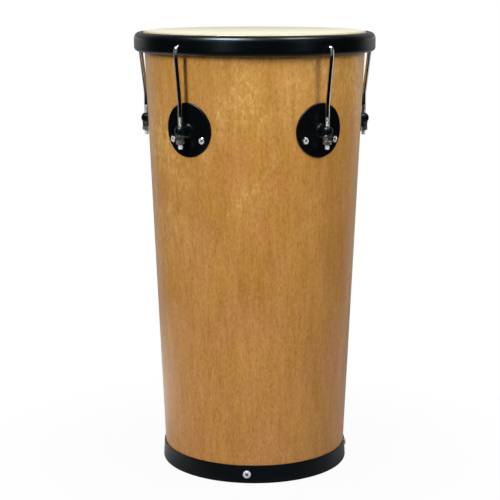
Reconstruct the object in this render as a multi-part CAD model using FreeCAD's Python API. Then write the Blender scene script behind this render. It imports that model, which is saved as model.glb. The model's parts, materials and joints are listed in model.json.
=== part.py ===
import FreeCAD, Part
import math
import os

# Rebolo drum, sizes in millimetres. It stands on its base band with its axis on +Z, the floor
# at Z zero and the front towards -Y. An azimuth is counted from the front towards +X.

V = FreeCAD.Vector
UP = V(0, 0, 1)
ORIGIN = V(0, 0, 0)

# Shell: one bent plywood wall, wider at the head than at the base
drum_height = 600.0
shell_top_radius = 150.7
shell_base_radius = 125.4
shell_wall = 6.0
edge_round = 2.5
edge_flat = 1.0

# Head: a plastic film turned down over the bearing edge and crimped in an aluminium hoop
film_thickness = 0.5
film_side_gap = 0.2
flesh_side_gap = 0.4
flesh_width = 6.4
flesh_height = 8.0
flesh_corner = 2.5
flesh_slot_depth = 3.0
flesh_slot_above_foot = 1.6
slot_gap = 0.05
slot_end_gap = 0.4

# Counter hoop: pressed steel, a shoulder above, a straight wall and a curl below. The shoulder
# starts a little inside the flat top of the flesh hoop, so its hollow clears the corner there
hoop_drop = 1.5
hoop_height = 25.8
hoop_wall = 2.0
hoop_shoulder = 8.5
hoop_shoulder_inset = 0.4
hoop_lip_flat = 0.5
hoop_curl = 6.0
hoop_rest_gap = 0.3

# Lugs: a round plate wrapped on the shell with a ball-ended post for the rod
lug_count = 5
first_lug_azimuth = 36.0
lug_below_top = 123.5
plate_radius = 35.6
plate_thickness = 2.4
plate_edge_round = 1.4
plate_seat_gap = 0.05
post_radius = 7.4
post_root_fillet = 4.0
post_length = 12.75
post_seat_cut = 1.9
post_seat_cut_gap = 0.7

# Hooks: threaded rods whose bent end enters a hole in the counter hoop
rod_radius = 3.0
rod_end_below_nuts = 6.3
rod_bend_above_lug = 35.5
hook_hoop_gap = 1.4
hook_bend_below_leg = 11.4
hook_leg_below_hoop_top = 15.1
hook_leg_end_gap = 0.4
rod_lower_bend = 60.0
rod_upper_bend = 25.0
hook_corner_bend = 4.6
hook_hole_gap = 0.4
hook_hole_seat = 0.05
lug_hole_gap = 0.4

# Washer, tension nut and lock nut under each post
rod_washer_radius = 6.0
rod_washer_thickness = 1.6
rod_washer_gap = 0.3
rod_nut_flats = 10.0
rod_nut_height = 5.0
rod_nut_fit = 0.08
rod_nut_play = 0.1

# Screws, washers and nuts that hold the lugs and the base band
bolt_radius = 2.5
bolt_hole_gap = 0.2
bolt_end = 1.5
bolt_nut_flats = 8.0
bolt_nut_height = 4.0
bolt_nut_fit = 0.05
bolt_washer_radius = 5.0
bolt_washer_thickness = 1.0
inner_seat_gap = 0.15
lug_screw_inset = 8.9
lug_screw_angle = 28.2
lug_screw_head_radius = 4.6
lug_screw_head_height = 3.0
lug_screw_head_rim = 1.1

# Base band: steel strip, flared a little, with a narrow foot under the edge of the shell
band_height = 25.2
band_wall = 1.5
band_top_gap = 0.2
band_base_gap = 2.6
band_corner = 2.6
band_foot_inset = 0.4
band_screw_azimuths = (-4.0, 96.0, 176.0, 256.0)
band_screw_below_top = 12.0
band_screw_head_radius = 5.3
band_screw_head_height = 3.2
band_screw_head_rim = 1.2

# Cutting tools reach this far past what they cut, and points this close are one
overrun = 5.0
same_point = 0.001

# An edge is known by this many points along it
probe_count = 9

taper = (shell_top_radius - shell_base_radius) / drum_height
taper_degrees = math.degrees(math.atan(taper))


def shell_radius(height):
    return shell_base_radius + taper * height


def plate_outer(height):
    return shell_radius(height) + plate_seat_gap + plate_thickness


def band_outer(height):
    base_radius = shell_base_radius + band_base_gap + band_wall
    top_radius = shell_radius(band_height) + band_top_gap + band_wall
    return base_radius + (top_radius - base_radius) * height / band_height


# Places that follow from the sizes above
shell_bottom = band_wall
shell_top = drum_height - film_thickness
hoop_top = drum_height - hoop_drop
hoop_bottom = hoop_top - hoop_height
flesh_top = hoop_top - hoop_wall - hoop_rest_gap
flesh_bottom = flesh_top - flesh_height
flesh_inner = shell_top_radius + film_side_gap + film_thickness + flesh_side_gap
flesh_outer = flesh_inner + flesh_width
shoulder_centre = flesh_outer - flesh_corner - hoop_shoulder_inset
hoop_radius = shoulder_centre + hoop_shoulder
lug_height = drum_height - lug_below_top
rod_axis_radius = plate_outer(lug_height) + post_length
hook_axis_radius = hoop_radius + hook_hoop_gap + rod_radius
leg_height = hoop_top - hook_leg_below_hoop_top
leg_end = flesh_outer + hook_leg_end_gap
post_seat = lug_height - post_radius + post_seat_cut
nut_top = post_seat - rod_washer_thickness - rod_nut_play
nut_seam = nut_top - rod_nut_height
rod_end = nut_seam - rod_nut_height - rod_end_below_nuts
lug_screw_ring = plate_radius - lug_screw_inset
lug_screw_height = lug_height - lug_screw_ring * math.sin(math.radians(lug_screw_angle))
lug_stack = plate_thickness + plate_seat_gap + shell_wall + inner_seat_gap
band_screw_height = band_height - band_screw_below_top


def even_azimuths(first, count):
    return [first + 360.0 * index / count for index in range(count)]


# A point of a section, in the plane that holds the drum's axis
def at(radius, height):
    return V(radius, 0, height)


# The middle of a quarter arc about a centre, bulging towards the two signs given
def quarter(centre_radius, centre_height, radius, out, up):
    step = radius * math.sqrt(0.5)
    return at(centre_radius + out * step, centre_height + up * step)


# A closed section: each step is an end point, or a pair of a middle point and an end point
def section(start, *steps):
    edges = []
    here = start
    for step in steps:
        if isinstance(step, tuple):
            middle, end = step
            edges.append(Part.Arc(here, middle, end).toShape())
        else:
            end = step
            edges.append(Part.LineSegment(here, end).toShape())
        here = end
    if not here.isEqual(start, same_point):
        edges.append(Part.LineSegment(here, start).toShape())
    return Part.Face(Part.Wire(edges))


def revolved(face):
    return face.revolve(ORIGIN, UP, 360).Solids[0]


# A path of straight runs joined by tangent arcs
def bent_path(points, bends):
    edges = []
    here = points[0]
    for index, bend in enumerate(bends, start=1):
        corner = points[index]
        back = (points[index - 1] - corner).normalize()
        ahead = (points[index + 1] - corner).normalize()
        half = back.getAngle(ahead) / 2
        leave = bend / math.tan(half)
        centre = corner + (back + ahead).normalize() * (bend / math.sin(half))
        middle = centre + (corner - centre).normalize() * bend
        start = corner + back * leave
        end = corner + ahead * leave
        edges.append(Part.LineSegment(here, start).toShape())
        edges.append(Part.Arc(start, middle, end).toShape())
        here = end
    edges.append(Part.LineSegment(here, points[-1]).toShape())
    return Part.Wire(edges)


# Lays a piece made along +Z on a radius of the drum, its +Z outwards and dipping by the tilt
def laid_on(piece, radius, height, tilt, azimuth):
    laid = piece.copy()
    laid.rotate(ORIGIN, V(0, 1, 0), 90 + tilt)
    laid.translate(at(radius, height))
    laid.rotate(ORIGIN, UP, azimuth - 90)
    return laid


# Turns a piece made on +X to its azimuth
def turned(piece, azimuth):
    copy = piece.copy()
    copy.rotate(ORIGIN, UP, azimuth - 90)
    return copy


# A screw along +Z with its head's underside at zero
def pan_screw(length, head_radius, head_height, head_rim):
    crown = (head_radius ** 2 + (head_height - head_rim) ** 2) / (2 * (head_height - head_rim))
    side = math.asin(head_radius / crown) / 2
    middle = at(crown * math.sin(side), head_height - crown * (1 - math.cos(side)))
    return revolved(section(
        at(0, -length), at(bolt_radius, -length), at(bolt_radius, 0), at(head_radius, 0),
        at(head_radius, head_rim), (middle, at(0, head_height))))


def hex_nut(flats, height, bore, base):
    corner = flats / math.sqrt(3)
    turns = [math.radians(60 * side) for side in range(7)]
    corners = [V(corner * math.cos(turn), corner * math.sin(turn), base) for turn in turns]
    prism = Part.Face(Part.makePolygon(corners)).extrude(V(0, 0, height))
    return prism.cut(Part.makeCylinder(bore, height + 2 * overrun, V(0, 0, base - overrun)))


def washer(radius, bore, thickness, base):
    disc = Part.makeCylinder(radius, thickness, V(0, 0, base))
    return disc.cut(Part.makeCylinder(bore, thickness + 2 * overrun, V(0, 0, base - overrun)))


# Washer and nut on the inner end of a screw whose stack is this thick
def inner_nut(stack):
    washer_base = -stack - bolt_washer_thickness
    nut_base = washer_base - bolt_nut_height
    return [washer(bolt_washer_radius, bolt_radius + bolt_hole_gap, bolt_washer_thickness, washer_base),
            hex_nut(bolt_nut_flats, bolt_nut_height, bolt_radius + bolt_nut_fit, nut_base)]


def bolt_length(stack):
    return stack + bolt_washer_thickness + bolt_nut_height + bolt_end


def bolt_hole(stack):
    reach = bolt_length(stack) + overrun
    return Part.makeCylinder(bolt_radius + bolt_hole_gap, reach + overrun, V(0, 0, -reach))


# The two places of a lug's screws, as angles from the lug's own azimuth
def lug_screw_turns():
    half_spacing = lug_screw_ring * math.cos(math.radians(lug_screw_angle))
    turn = math.degrees(half_spacing / plate_outer(lug_screw_height))
    return [-turn, turn]


def on_lug(piece, azimuth):
    return laid_on(piece, plate_outer(lug_screw_height), lug_screw_height, taper_degrees, azimuth)


# The band flares downwards and the shell upwards, so a level screw's head and inner washer
# bear on the lower edge of their seats
def band_seat():
    return band_outer(band_screw_height - band_screw_head_radius)


def on_band(piece, azimuth):
    return laid_on(piece, band_seat(), band_screw_height, 0, azimuth)


def band_stack():
    inner_seat = shell_radius(band_screw_height - bolt_washer_radius) - shell_wall
    return band_seat() - inner_seat + inner_seat_gap


def make_shell():
    round_centre = shell_radius(shell_top - edge_round) - edge_round
    inner_flat = round_centre - edge_flat
    bevel = inner_flat - (shell_radius(shell_top) - shell_wall)
    wall = revolved(section(
        at(shell_radius(shell_bottom) - shell_wall, shell_bottom),
        at(shell_radius(shell_bottom), shell_bottom),
        at(shell_radius(shell_top - edge_round), shell_top - edge_round),
        (quarter(round_centre, shell_top - edge_round, edge_round, 1, 1), at(round_centre, shell_top)),
        at(inner_flat, shell_top),
        at(shell_radius(shell_top - bevel) - shell_wall, shell_top - bevel)))
    holes = [on_lug(bolt_hole(lug_stack), azimuth + turn)
             for azimuth in even_azimuths(first_lug_azimuth, lug_count) for turn in lug_screw_turns()]
    holes += [on_band(bolt_hole(band_stack()), azimuth) for azimuth in band_screw_azimuths]
    return wall.cut(holes)


def make_head_skin():
    inner = shell_top_radius + film_side_gap
    outer = inner + film_thickness
    inner_round = edge_round + film_side_gap
    outer_round = inner_round + film_thickness
    centre = inner - inner_round
    centre_height = shell_top - inner_round
    flange_end = flesh_inner + flesh_slot_depth - slot_end_gap
    flange_bottom = flesh_bottom + flesh_slot_above_foot + slot_gap
    flange_top = flange_bottom + film_thickness
    return revolved(section(
        at(0, drum_height), at(centre, drum_height),
        (quarter(centre, centre_height, outer_round, 1, 1), at(outer, centre_height)),
        at(outer, flange_top), at(flange_end, flange_top), at(flange_end, flange_bottom),
        at(inner, flange_bottom), at(inner, centre_height),
        (quarter(centre, centre_height, inner_round, 1, 1), at(centre, shell_top)),
        at(0, shell_top)))


def make_flesh_hoop():
    slot_bottom = flesh_bottom + flesh_slot_above_foot
    slot_top = slot_bottom + film_thickness + 2 * slot_gap
    slot_end = flesh_inner + flesh_slot_depth
    corner = flesh_outer - flesh_corner
    corner_height = flesh_top - flesh_corner
    return revolved(section(
        at(flesh_inner, flesh_bottom), at(flesh_outer, flesh_bottom), at(flesh_outer, corner_height),
        (quarter(corner, corner_height, flesh_corner, 1, 1), at(corner, flesh_top)),
        at(flesh_inner, flesh_top), at(flesh_inner, slot_top), at(slot_end, slot_top),
        at(slot_end, slot_bottom), at(flesh_inner, slot_bottom)))


def make_counter_hoop():
    lip = shoulder_centre - hoop_lip_flat
    lip_middle = at(lip - hoop_wall / 2, hoop_top - hoop_wall / 2)
    shoulder_height = hoop_top - hoop_shoulder
    curl = hoop_radius - hoop_curl
    curl_height = hoop_bottom + hoop_curl
    curl_middle = at(curl - hoop_wall / 2, hoop_bottom + hoop_wall / 2)
    ring = revolved(section(
        at(lip, hoop_top), at(shoulder_centre, hoop_top),
        (quarter(shoulder_centre, shoulder_height, hoop_shoulder, 1, 1), at(hoop_radius, shoulder_height)),
        at(hoop_radius, curl_height),
        (quarter(curl, curl_height, hoop_curl, 1, -1), at(curl, hoop_bottom)),
        (curl_middle, at(curl, hoop_bottom + hoop_wall)),
        (quarter(curl, curl_height, hoop_curl - hoop_wall, 1, -1),
         at(hoop_radius - hoop_wall, curl_height)),
        at(hoop_radius - hoop_wall, shoulder_height),
        (quarter(shoulder_centre, shoulder_height, hoop_shoulder - hoop_wall, 1, 1),
         at(shoulder_centre, hoop_top - hoop_wall)),
        at(lip, hoop_top - hoop_wall),
        (lip_middle, at(lip, hoop_top))))
    hole_height = leg_height + hook_hole_gap - hook_hole_seat
    hole = Part.makeCylinder(rod_radius + hook_hole_gap, hoop_wall + 2 * overrun,
                             at(hoop_radius - hoop_wall - overrun, hole_height), V(1, 0, 0))
    holes = [turned(hole, azimuth) for azimuth in even_azimuths(first_lug_azimuth, lug_count)]
    return ring.cut(holes)


def make_base_band():
    foot_end = shell_radius(shell_bottom) - shell_wall - band_foot_inset
    corner = band_outer(band_corner) - band_corner
    inner_corner = band_corner - band_wall
    top_outer = band_outer(band_height)
    band = revolved(section(
        at(foot_end, 0), at(corner, 0),
        (quarter(corner, band_corner, band_corner, 1, -1), at(corner + band_corner, band_corner)),
        at(top_outer, band_height), at(top_outer - band_wall, band_height),
        at(corner + inner_corner, band_corner),
        (quarter(corner, band_corner, inner_corner, 1, -1), at(corner, band_wall)),
        at(foot_end, band_wall)))
    holes = [on_band(bolt_hole(band_stack()), azimuth) for azimuth in band_screw_azimuths]
    return band.cut(holes)


def edge_points(edge):
    return edge.discretize(Number=probe_count)


# The plate's outer rim: every point on the outer cone and at the plate's own radius
def is_plate_rim(edge):
    tolerance = plate_thickness / 4
    return all(abs(math.hypot(point.x, point.y) - plate_outer(point.z)) < tolerance
               for point in edge_points(edge))


# The root of the post: every point at the post's radius and near the outer cone
def is_post_root(edge):
    if edge.Degenerated:
        return False
    for point in edge_points(edge):
        off_post = abs(math.hypot(point.y, point.z - lug_height) - post_radius)
        off_plate = abs(math.hypot(point.x, point.y) - plate_outer(point.z))
        if off_post > post_radius / 10 or off_plate > plate_thickness / 2:
            return False
    return True


# A solid cone that follows the shell, with the joining line of its side at the back
def cone_between(low, high, extra):
    base_radius = shell_radius(low) + extra
    top_radius = shell_radius(high) + extra
    cone = Part.makeCone(base_radius, top_radius, high - low, V(0, 0, low))
    cone.rotate(ORIGIN, UP, 180)
    return cone


# The lug is made on +X, which is azimuth 90
def make_lug():
    low = lug_height - plate_radius - overrun
    high = lug_height + plate_radius + overrun
    outer = cone_between(low, high, plate_seat_gap + plate_thickness)
    sheet = outer.cut(cone_between(low, high, plate_seat_gap))
    depth = shell_radius(lug_height)
    punch = Part.makeCylinder(plate_radius, depth + overrun, V(0, 0, -depth))
    punch.rotate(ORIGIN, V(0, 1, 0), 90 + taper_degrees)
    punch.translate(at(plate_outer(lug_height) + overrun, lug_height))
    plate = sheet.common(punch)
    plate = plate.makeFillet(plate_edge_round, [edge for edge in plate.Edges if is_plate_rim(edge)])
    root = shell_radius(lug_height) + plate_seat_gap + plate_thickness / 2
    post = Part.makeCylinder(post_radius, rod_axis_radius - root, at(root, lug_height), V(1, 0, 0))
    ball = Part.makeSphere(post_radius, at(rod_axis_radius, lug_height))
    lug = plate.fuse(post.fuse(ball)).removeSplitter()
    lug = lug.makeFillet(post_root_fillet, [edge for edge in lug.Edges if is_post_root(edge)])
    rod_hole = Part.makeCylinder(rod_radius + lug_hole_gap, 2 * (post_radius + overrun),
                                 at(rod_axis_radius, lug_height - post_radius - overrun))
    spot_face = Part.makeCylinder(rod_washer_radius + post_seat_cut_gap, post_radius + overrun,
                                  at(rod_axis_radius, post_seat - post_radius - overrun))
    screw_holes = [on_lug(bolt_hole(lug_stack), 90 + turn) for turn in lug_screw_turns()]
    return lug.cut([rod_hole, spot_face] + screw_holes)


def make_hook():
    points = [at(rod_axis_radius, rod_end), at(rod_axis_radius, lug_height + rod_bend_above_lug),
              at(hook_axis_radius, leg_height - hook_bend_below_leg), at(hook_axis_radius, leg_height),
              at(leg_end, leg_height)]
    path = bent_path(points, [rod_lower_bend, rod_upper_bend, hook_corner_bend])
    circle = Part.Wire(Part.Circle(points[0], UP, rod_radius).toShape())
    return path.makePipeShell([circle], True, True).Solids[0]


def on_rod(piece):
    moved = piece.copy()
    moved.translate(at(rod_axis_radius, 0))
    return moved


def save(pieces, name):
    shape = pieces[0] if len(pieces) == 1 else Part.makeCompound(pieces)
    assert shape.isValid(), name
    shape.exportStep("parts/" + name + ".step")
    print(name, len(shape.Solids), round(shape.Volume))


save([make_shell()], "shell")
save([make_head_skin()], "head_skin")
save([make_flesh_hoop()], "flesh_hoop")
save([make_counter_hoop()], "counter_hoop")
save([make_base_band()], "base_band")

band_screw = pan_screw(bolt_length(band_stack()), band_screw_head_radius, band_screw_head_height,
                       band_screw_head_rim)
save([on_band(band_screw, azimuth) for azimuth in band_screw_azimuths], "base_band_screws")
save([on_band(piece, azimuth) for azimuth in band_screw_azimuths for piece in inner_nut(band_stack())],
     "base_band_nuts")

lug = make_lug()
hook = make_hook()
lug_screw = pan_screw(bolt_length(lug_stack), lug_screw_head_radius, lug_screw_head_height,
                      lug_screw_head_rim)
rod_washer = on_rod(washer(rod_washer_radius, rod_radius + rod_washer_gap, rod_washer_thickness,
                           post_seat - rod_washer_thickness))
tension_nut = on_rod(hex_nut(rod_nut_flats, rod_nut_height, rod_radius + rod_nut_fit, nut_seam))
lock_nut = on_rod(hex_nut(rod_nut_flats, rod_nut_height, rod_radius + rod_nut_fit,
                          nut_seam - rod_nut_height))

for number, azimuth in enumerate(even_azimuths(first_lug_azimuth, lug_count), start=1):
    save([turned(lug, azimuth)], "lug_%d" % number)
    save([on_lug(lug_screw, azimuth + turn) for turn in lug_screw_turns()], "lug_screws_%d" % number)
    save([on_lug(piece, azimuth + turn) for turn in lug_screw_turns() for piece in inner_nut(lug_stack)],
         "lug_nuts_%d" % number)
    save([turned(hook, azimuth)], "hook_%d" % number)
    save([turned(rod_washer, azimuth)], "hook_washer_%d" % number)
    save([turned(tension_nut, azimuth)], "tension_nut_%d" % number)
    save([turned(lock_nut, azimuth)], "lock_nut_%d" % number)
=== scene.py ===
import json
import math
import bpy
import bmesh
import numpy as np
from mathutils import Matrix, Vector

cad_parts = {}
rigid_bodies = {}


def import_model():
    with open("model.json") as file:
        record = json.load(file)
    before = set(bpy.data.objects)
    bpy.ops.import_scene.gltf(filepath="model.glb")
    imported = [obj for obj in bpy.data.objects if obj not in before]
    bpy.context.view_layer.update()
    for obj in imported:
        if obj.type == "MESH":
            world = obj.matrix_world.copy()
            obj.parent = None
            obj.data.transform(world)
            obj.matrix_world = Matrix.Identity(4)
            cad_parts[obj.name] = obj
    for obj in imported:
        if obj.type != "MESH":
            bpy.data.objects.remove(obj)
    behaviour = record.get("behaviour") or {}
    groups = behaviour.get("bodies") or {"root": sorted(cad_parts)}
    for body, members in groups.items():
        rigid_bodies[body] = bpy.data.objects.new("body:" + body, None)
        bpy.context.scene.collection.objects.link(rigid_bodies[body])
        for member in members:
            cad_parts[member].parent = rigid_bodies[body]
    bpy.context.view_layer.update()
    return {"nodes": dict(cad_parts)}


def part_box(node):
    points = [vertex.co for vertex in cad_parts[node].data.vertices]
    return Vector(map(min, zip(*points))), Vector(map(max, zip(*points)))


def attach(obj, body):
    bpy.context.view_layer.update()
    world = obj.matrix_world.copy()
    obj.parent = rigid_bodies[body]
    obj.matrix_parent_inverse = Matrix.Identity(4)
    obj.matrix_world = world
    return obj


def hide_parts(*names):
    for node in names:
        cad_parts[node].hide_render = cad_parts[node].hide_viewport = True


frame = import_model()

mm = 0.001
turnRound = 2 * math.pi
weldWithin = 0.0005 * mm
rodRadius = 3.0 * mm

# Azimuths are counted from the front, which is -Y, towards +X, as in the frame
lugCount = 5
firstLugAzimuth = 36.0
lugAzimuths = [firstLugAzimuth + 360.0 * index / lugCount for index in range(lugCount)]


def meshPoints(mesh):
    points = np.zeros(len(mesh.vertices) * 3)
    mesh.vertices.foreach_get("co", points)
    return points.reshape(-1, 3)


# Largest radius about the drum's axis among a node's points near one height
def radiusAt(nodeName, height, reach=0.2 * mm):
    points = meshPoints(frame["nodes"][nodeName].data)
    near = points[np.abs(points[:, 2] - height) < reach]
    return float(np.hypot(near[:, 0], near[:, 1]).max())


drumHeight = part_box("head_skin")[1].z
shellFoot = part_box("shell")[0].z
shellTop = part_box("shell")[1].z
edgeRound = 2.5 * mm
shellFootRadius = radiusAt("shell", shellFoot)
shellTaper = (radiusAt("shell", shellTop - edgeRound) - shellFootRadius) / (shellTop - edgeRound - shellFoot)


# Outer radius of the shell: it grows evenly with height
def shellRadius(height):
    return shellFootRadius + shellTaper * (height - shellFoot)


# Mesh making

def addObject(name, data):
    made = bpy.data.objects.new(name, data)
    bpy.context.scene.collection.objects.link(made)
    return made


# Quads between neighbouring rows and columns of a grid, closed on itself where asked
def gridFaces(rows, columns, closeRows=False, closeColumns=True):
    row = np.arange(rows if closeRows else rows - 1)[:, None]
    column = np.arange(columns if closeColumns else columns - 1)[None, :]
    nextRow = (row + 1) % rows
    nextColumn = (column + 1) % columns
    corners = [row * columns + column, row * columns + nextColumn,
               nextRow * columns + nextColumn, nextRow * columns + column]
    return np.stack(np.broadcast_arrays(*corners), axis=-1).reshape(-1, 4)


# Joins grids of points into one closed mesh: doubles merge, so poles and seams close, faces turn
# outwards, and edges sharper than the angle stay crisp. Each grid says which material it takes, as
# one number or as one for each of its points, where a face takes the lowest of its corners'
def pieceFromGrids(name, grids, materials, sharpDegrees=32):
    points, faces, slots = [], [], []
    start = 0
    for grid, closeRows, slot in grids:
        rows, columns = grid.shape[:2]
        points.append(grid.reshape(-1, 3))
        quads = gridFaces(rows, columns, closeRows)
        faces.append(quads + start)
        slots.append(np.broadcast_to(slot, (rows, columns)).reshape(-1)[quads].min(axis=1))
        start += rows * columns
    points, faces, slots = np.vstack(points), np.vstack(faces), np.concatenate(slots)
    mesh = bpy.data.meshes.new(name)
    mesh.from_pydata(points.tolist(), [], faces.tolist())
    mesh.polygons.foreach_set("material_index", slots.astype(np.int32))
    work = bmesh.new()
    work.from_mesh(mesh)
    bmesh.ops.remove_doubles(work, verts=work.verts, dist=weldWithin)
    bmesh.ops.dissolve_degenerate(work, edges=work.edges, dist=weldWithin)
    bmesh.ops.recalc_face_normals(work, faces=work.faces)
    work.to_mesh(mesh)
    work.free()
    for material in materials:
        mesh.materials.append(material)
    smoothByAngle(mesh, sharpDegrees)
    return addObject(name, mesh)


# Smooth shading, but for edges sharper than the angle
def smoothByAngle(mesh, sharpDegrees):
    mesh.shade_smooth()
    mesh.set_sharp_from_angle(angle=math.radians(sharpDegrees))


# A piece rides on its body and stands for its nodes, which are hidden. The slot it is given is not used
def settle(piece, body, slot, *nodeNames):
    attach(piece, body)
    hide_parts(*nodeNames)


# Cuts each tool's volume out of a piece and keeps the result as the piece's own mesh
def cutAway(piece, tools, sharpDegrees=32):
    for tool in tools:
        cut = piece.modifiers.new("cut", "BOOLEAN")
        cut.operation = "DIFFERENCE"
        cut.solver = "EXACT"
        cut.object = tool
    ready = piece.evaluated_get(bpy.context.evaluated_depsgraph_get())
    mesh = bpy.data.meshes.new_from_object(ready)
    piece.modifiers.clear()
    piece.data = mesh
    smoothByAngle(mesh, sharpDegrees)
    for tool in tools:
        bpy.data.objects.remove(tool)


# Straight run of a profile: this many points between two places, the last place left out
def line(startRadius, startHeight, endRadius, endHeight, count):
    share = np.arange(count)[:, None] / count
    return np.array([startRadius, startHeight]) * (1 - share) + np.array([endRadius, endHeight]) * share


# Round stretch of a profile: this many points about a centre, at even angles counted from
# outwards to up, both ends kept
def arc(centreRadius, centreHeight, radius, startDegrees, endDegrees, count):
    angle = np.radians(np.linspace(startDegrees, endDegrees, count))
    return np.stack([centreRadius + radius * np.cos(angle), centreHeight + radius * np.sin(angle)], axis=1)


# Even steps of angle once round, as one row
def turnsRound(columns):
    return np.arange(columns)[None, :] * turnRound / columns


# A profile of radii and heights carried once round the drum's axis
def revolve(profile, columns):
    turn = turnsRound(columns)
    radius, height = profile[:, 0][:, None], profile[:, 1][:, None]
    return np.stack([radius * np.sin(turn), -radius * np.cos(turn), height + 0 * turn], axis=-1)


# Sideways, up and outward shares of points about a piece's own axis: the radius times the cosine
# and the sine of the turn, and the depth
def aboutOwn(radius, depth, turn):
    return np.stack([radius * np.cos(turn), radius * np.sin(turn), depth + 0 * turn], axis=-1)


# A profile of radii and depths carried round a piece's own axis
def revolveOwn(profile, columns):
    return aboutOwn(profile[:, 0][:, None], profile[:, 1][:, None], turnsRound(columns))


# Lays sideways, up and outward shares on the drum at a radius and height, dipping by the tilt
def layOn(points, radius, height, azimuth, tilt=0.0):
    turn = math.radians(azimuth)
    radial = np.array([math.sin(turn), -math.cos(turn), 0.0])
    sideways = np.array([math.cos(turn), math.sin(turn), 0.0])
    rise = np.array([0.0, 0.0, 1.0])
    outward = radial * math.cos(tilt) - rise * math.sin(tilt)
    upward = radial * math.sin(tilt) + rise * math.cos(tilt)
    place = radial * radius + rise * height
    return points[..., :1] * sideways + points[..., 1:2] * upward + points[..., 2:3] * outward + place


# Matrix that turns rows of points about their Z axis, from X towards Y
def turnMatrix(degrees):
    turn = math.radians(degrees)
    return np.array([[math.cos(turn), math.sin(turn), 0], [-math.sin(turn), math.cos(turn), 0], [0, 0, 1]])


# Rises from 0 at the low value to 1 at the high one, level at both
def smoothStep(low, high, value):
    share = np.clip((value - low) / (high - low), 0, 1)
    return share * share * (3 - 2 * share)


# Materials

# Adds a node, with numbers or colours on its inputs, or links from other nodes' outputs
def addNode(tree, kind, inputs=None, **settings):
    made = tree.nodes.new(kind)
    for name, value in settings.items():
        setattr(made, name, value)
    for name, value in (inputs or {}).items():
        if isinstance(value, bpy.types.NodeSocket):
            tree.links.new(value, made.inputs[name])
        else:
            made.inputs[name].default_value = value
    return made


# A new material whose shader takes these fixed values
def newMaterial(name, values):
    material = bpy.data.materials.new(name)
    material.use_nodes = True
    tree = material.node_tree
    shader = tree.nodes["Principled BSDF"]
    for socket, value in values.items():
        shader.inputs[socket].default_value = value
    return material, tree, shader


def objectPlace(tree):
    return addNode(tree, "ShaderNodeTexCoord").outputs["Object"]


# Noise on the object's own place. Wherever a noise is given as one row of values, they are its
# count per metre, stretch, detail, roughness and, where it has one, distortion
def stretchedNoise(tree, perMetre, stretch, detail, roughness, distortion=0.0):
    mapped = addNode(tree, "ShaderNodeMapping", {"Vector": objectPlace(tree), "Scale": stretch})
    noise = addNode(tree, "ShaderNodeTexNoise", {
        "Vector": mapped.outputs["Vector"], "Scale": perMetre, "Detail": detail,
        "Roughness": roughness, "Distortion": distortion})
    return noise.outputs["Fac"]


def mathNode(tree, operation, first, second=0.0, third=0.0):
    made = addNode(tree, "ShaderNodeMath", {0: first, 1: second, 2: third}, operation=operation)
    return made.outputs[0]


# Colours at chosen places between 0 and 1
def colourRamp(tree, factor, stops, interpolation="LINEAR"):
    ramp = addNode(tree, "ShaderNodeValToRGB", {"Fac": factor})
    ramp.color_ramp.interpolation = interpolation
    while len(ramp.color_ramp.elements) < len(stops):
        ramp.color_ramp.elements.new(0.5)
    for element, (position, colour) in zip(ramp.color_ramp.elements, stops):
        element.position = position
        element.color = (*colour, 1.0)
    return ramp.outputs["Color"]


# Black up to the low place, white from the high one
def rampBetween(tree, factor, low, high):
    return colourRamp(tree, factor, [(low, (0, 0, 0)), (high, (1, 1, 1))])


def mixColours(tree, factor, first, second, blend="MIX"):
    mix = tree.nodes.new("ShaderNodeMix")
    mix.data_type = "RGBA"
    mix.blend_type = blend
    for socket, value in ((mix.inputs[0], factor), (mix.inputs[6], first), (mix.inputs[7], second)):
        if isinstance(value, bpy.types.NodeSocket):
            tree.links.new(value, socket)
        else:
            socket.default_value = value
    return mix.outputs[2]


def bumpFrom(tree, shader, height, distance, strength=1.0):
    bump = addNode(tree, "ShaderNodeBump", {"Height": height, "Distance": distance, "Strength": strength})
    tree.links.new(bump.outputs["Normal"], shader.inputs["Normal"])


woodLook = {
    "honeyTan": (0.502, 0.241, 0.047, 1),
    "rosyTan": (0.500, 0.224, 0.062, 1),
    "paleTan": (0.720, 0.428, 0.132, 1),
    "fleckBrown": (0.270, 0.100, 0.018, 1),
    "noises": {
        "patches": (30.0, (1, 1, 0.5), 2.0, 0.5, 0.3),
        "clouds": (14.0, (1, 1, 0.6), 2.0, 0.5),
        "wisps": (150.0, (1, 1, 0.60), 4.0, 0.70, 0.8),
        "bands": (75.0, (1, 1, 0.12), 3.0, 0.6, 0.4),
        "streaks": (240.0, (1, 1, 0.12), 3.0, 0.6),
        "mottle": (360.0, (1, 1, 0.50), 3.0, 0.6, 0.4),
        "grain": (850.0, (1, 1, 0.22), 3.0, 0.6),
        "flecks": (430.0, (1, 1, 0.45), 2.0, 0.55, 0.3),
    },
    "rosyStart": 0.10,
    "rosyPerMetre": -0.36,
    "rosyBetween": (0.30, 0.70),
    "cloudBetween": (0.44, 0.58),
    "wispBetween": (0.44, 0.66),
    "wispHeights": (0.22, 0.42),
    "wispShare": 0.64,
    "topHeights": (0.40, 0.56),
    "topShare": 0.15,
    "fleckBetween": (0.57, 0.69),
    "fleckShare": 0.34,
    "shadeStart": -0.205,
    "shade": {"clouds": 0.24, "bands": 0.54, "streaks": 0.44, "mottle": 0.70, "grain": 0.52},
    "redOfShade": (0.72, 0.28),
    "blueOfShade": (1.80, -0.80),
    "poreDepth": 0.03 * mm,
    "poreStrength": 0.5,
    "fixed": {"Roughness": 0.42, "IOR": 1.4, "Coat Weight": 0.5, "Coat Roughness": 0.06, "Coat IOR": 1.5},
}


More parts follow.
